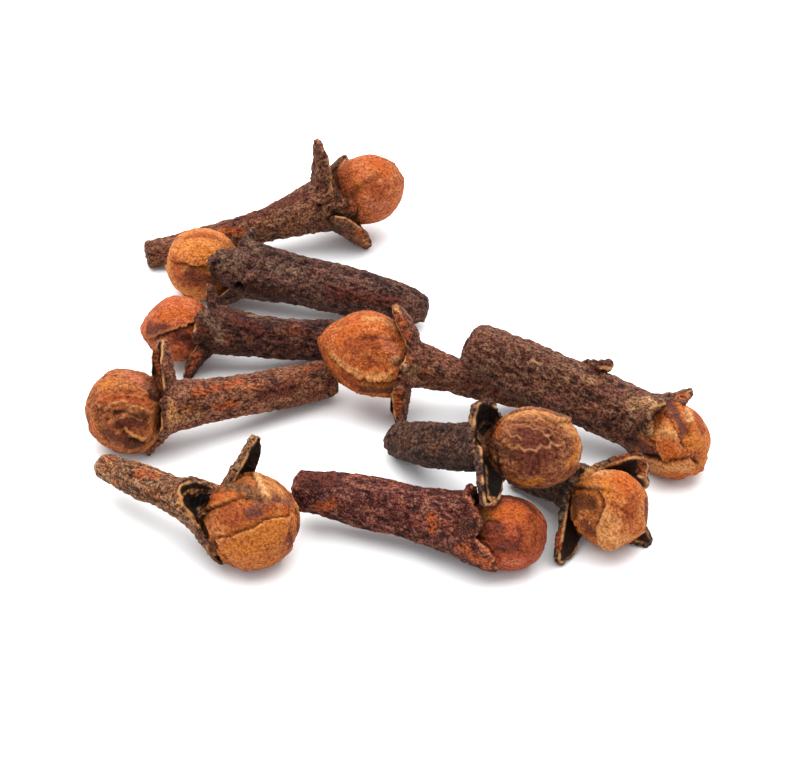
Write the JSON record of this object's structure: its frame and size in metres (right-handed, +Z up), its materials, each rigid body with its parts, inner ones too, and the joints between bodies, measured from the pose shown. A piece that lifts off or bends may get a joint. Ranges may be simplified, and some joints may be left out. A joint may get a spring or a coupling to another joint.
{
  "type": "loose heap of whole cloves",
  "caption": "Loose heap of whole dried cloves as they fell: each a tapering wrinkled stem with four pointed sepals round a ball of folded petals, some resting on others.",
  "frame": {"origin": "on the surface the heap rests on, under the middle of the heap's bounding box", "axes": "+Z up; +Y from the heap's front to its back; +X to the right seen from the front"},
  "size_m": [0.0395, 0.0398, 0.0088],
  "materials": {
    "clove_brown": "dried clove skin, dull and finely wrinkled, with a mid-brown stem and an orange-brown bud",
    "clove_red_brown": "dried clove skin, dull, red-brown to purple-brown with lighter specks",
    "clove_orange": "dried clove skin, dull, with a pale orange bud on a dark brown stem",
    "clove_dark": "dried clove skin, dull, near-black brown stem with tan rubbed spots"
  },
  "bodies": {
    "root": {"clove_01": "clove_brown", "clove_02": "clove_red_brown", "clove_03": "clove_orange", "clove_04": "clove_brown", "clove_05": "clove_dark", "clove_06": "clove_orange", "clove_07": "clove_brown", "clove_08": "clove_red_brown", "clove_09": "clove_dark", "clove_10": "clove_red_brown"}
  },
  "joints": []
}
